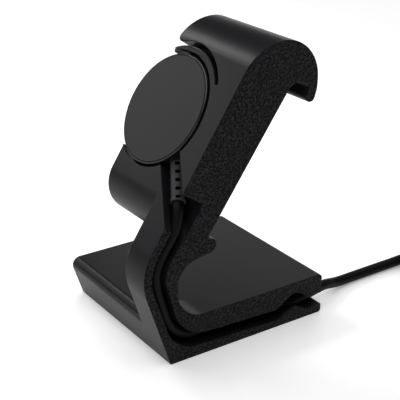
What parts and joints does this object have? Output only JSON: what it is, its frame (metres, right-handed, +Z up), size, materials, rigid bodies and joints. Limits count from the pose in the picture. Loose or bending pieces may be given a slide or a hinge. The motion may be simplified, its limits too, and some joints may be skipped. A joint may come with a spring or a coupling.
{
  "type": "smartwatch charging dock",
  "caption": "Leaning one-piece stand with a round magnetic charging puck in its arm; the puck's cable runs in a slot down the side and out at the rear, to a plug.",
  "frame": {"origin": "on the table under the middle of the stand's box", "axes": "+Z up, the charging face looks towards -Y and up, the cable slot is on the +X side"},
  "size_m": [0.1068, 0.1602, 0.1014],
  "materials": {
    "stand": "satin black plastic, pebbled on its right-hand side",
    "puck_housing": "smooth black plastic",
    "puck_face": "matt dark grey plastic",
    "copper": "wound copper wire",
    "ferrite": "pressed ferrite",
    "magnet": "plated magnet",
    "board": "green circuit board",
    "relief": "soft black rubber",
    "cable": "soft black rubber",
    "tie": "black band",
    "plug": "satin black plastic",
    "shell": "plated sheet steel",
    "tongue": "black plastic",
    "contact": "gold-plated strip"
  },
  "bodies": {
    "root": {"stand": "stand", "puck_housing": "puck_housing", "puck_face": "puck_face", "charging_coil": "copper", "ferrite_shield": "ferrite", "alignment_magnet": "magnet", "circuit_board": "board", "puck_strain_relief": "relief", "dock_cable": "cable", "free_cable": "cable", "cable_tail": "cable", "cable_coil": "cable", "cable_tie": "tie", "plug_strain_relief": "relief", "plug_body": "plug", "plug_shell": "shell", "plug_tongue": "tongue", "plug_contact_1": "contact", "plug_contact_2": "contact", "plug_contact_3": "contact", "plug_contact_4": "contact"}
  },
  "joints": []
}
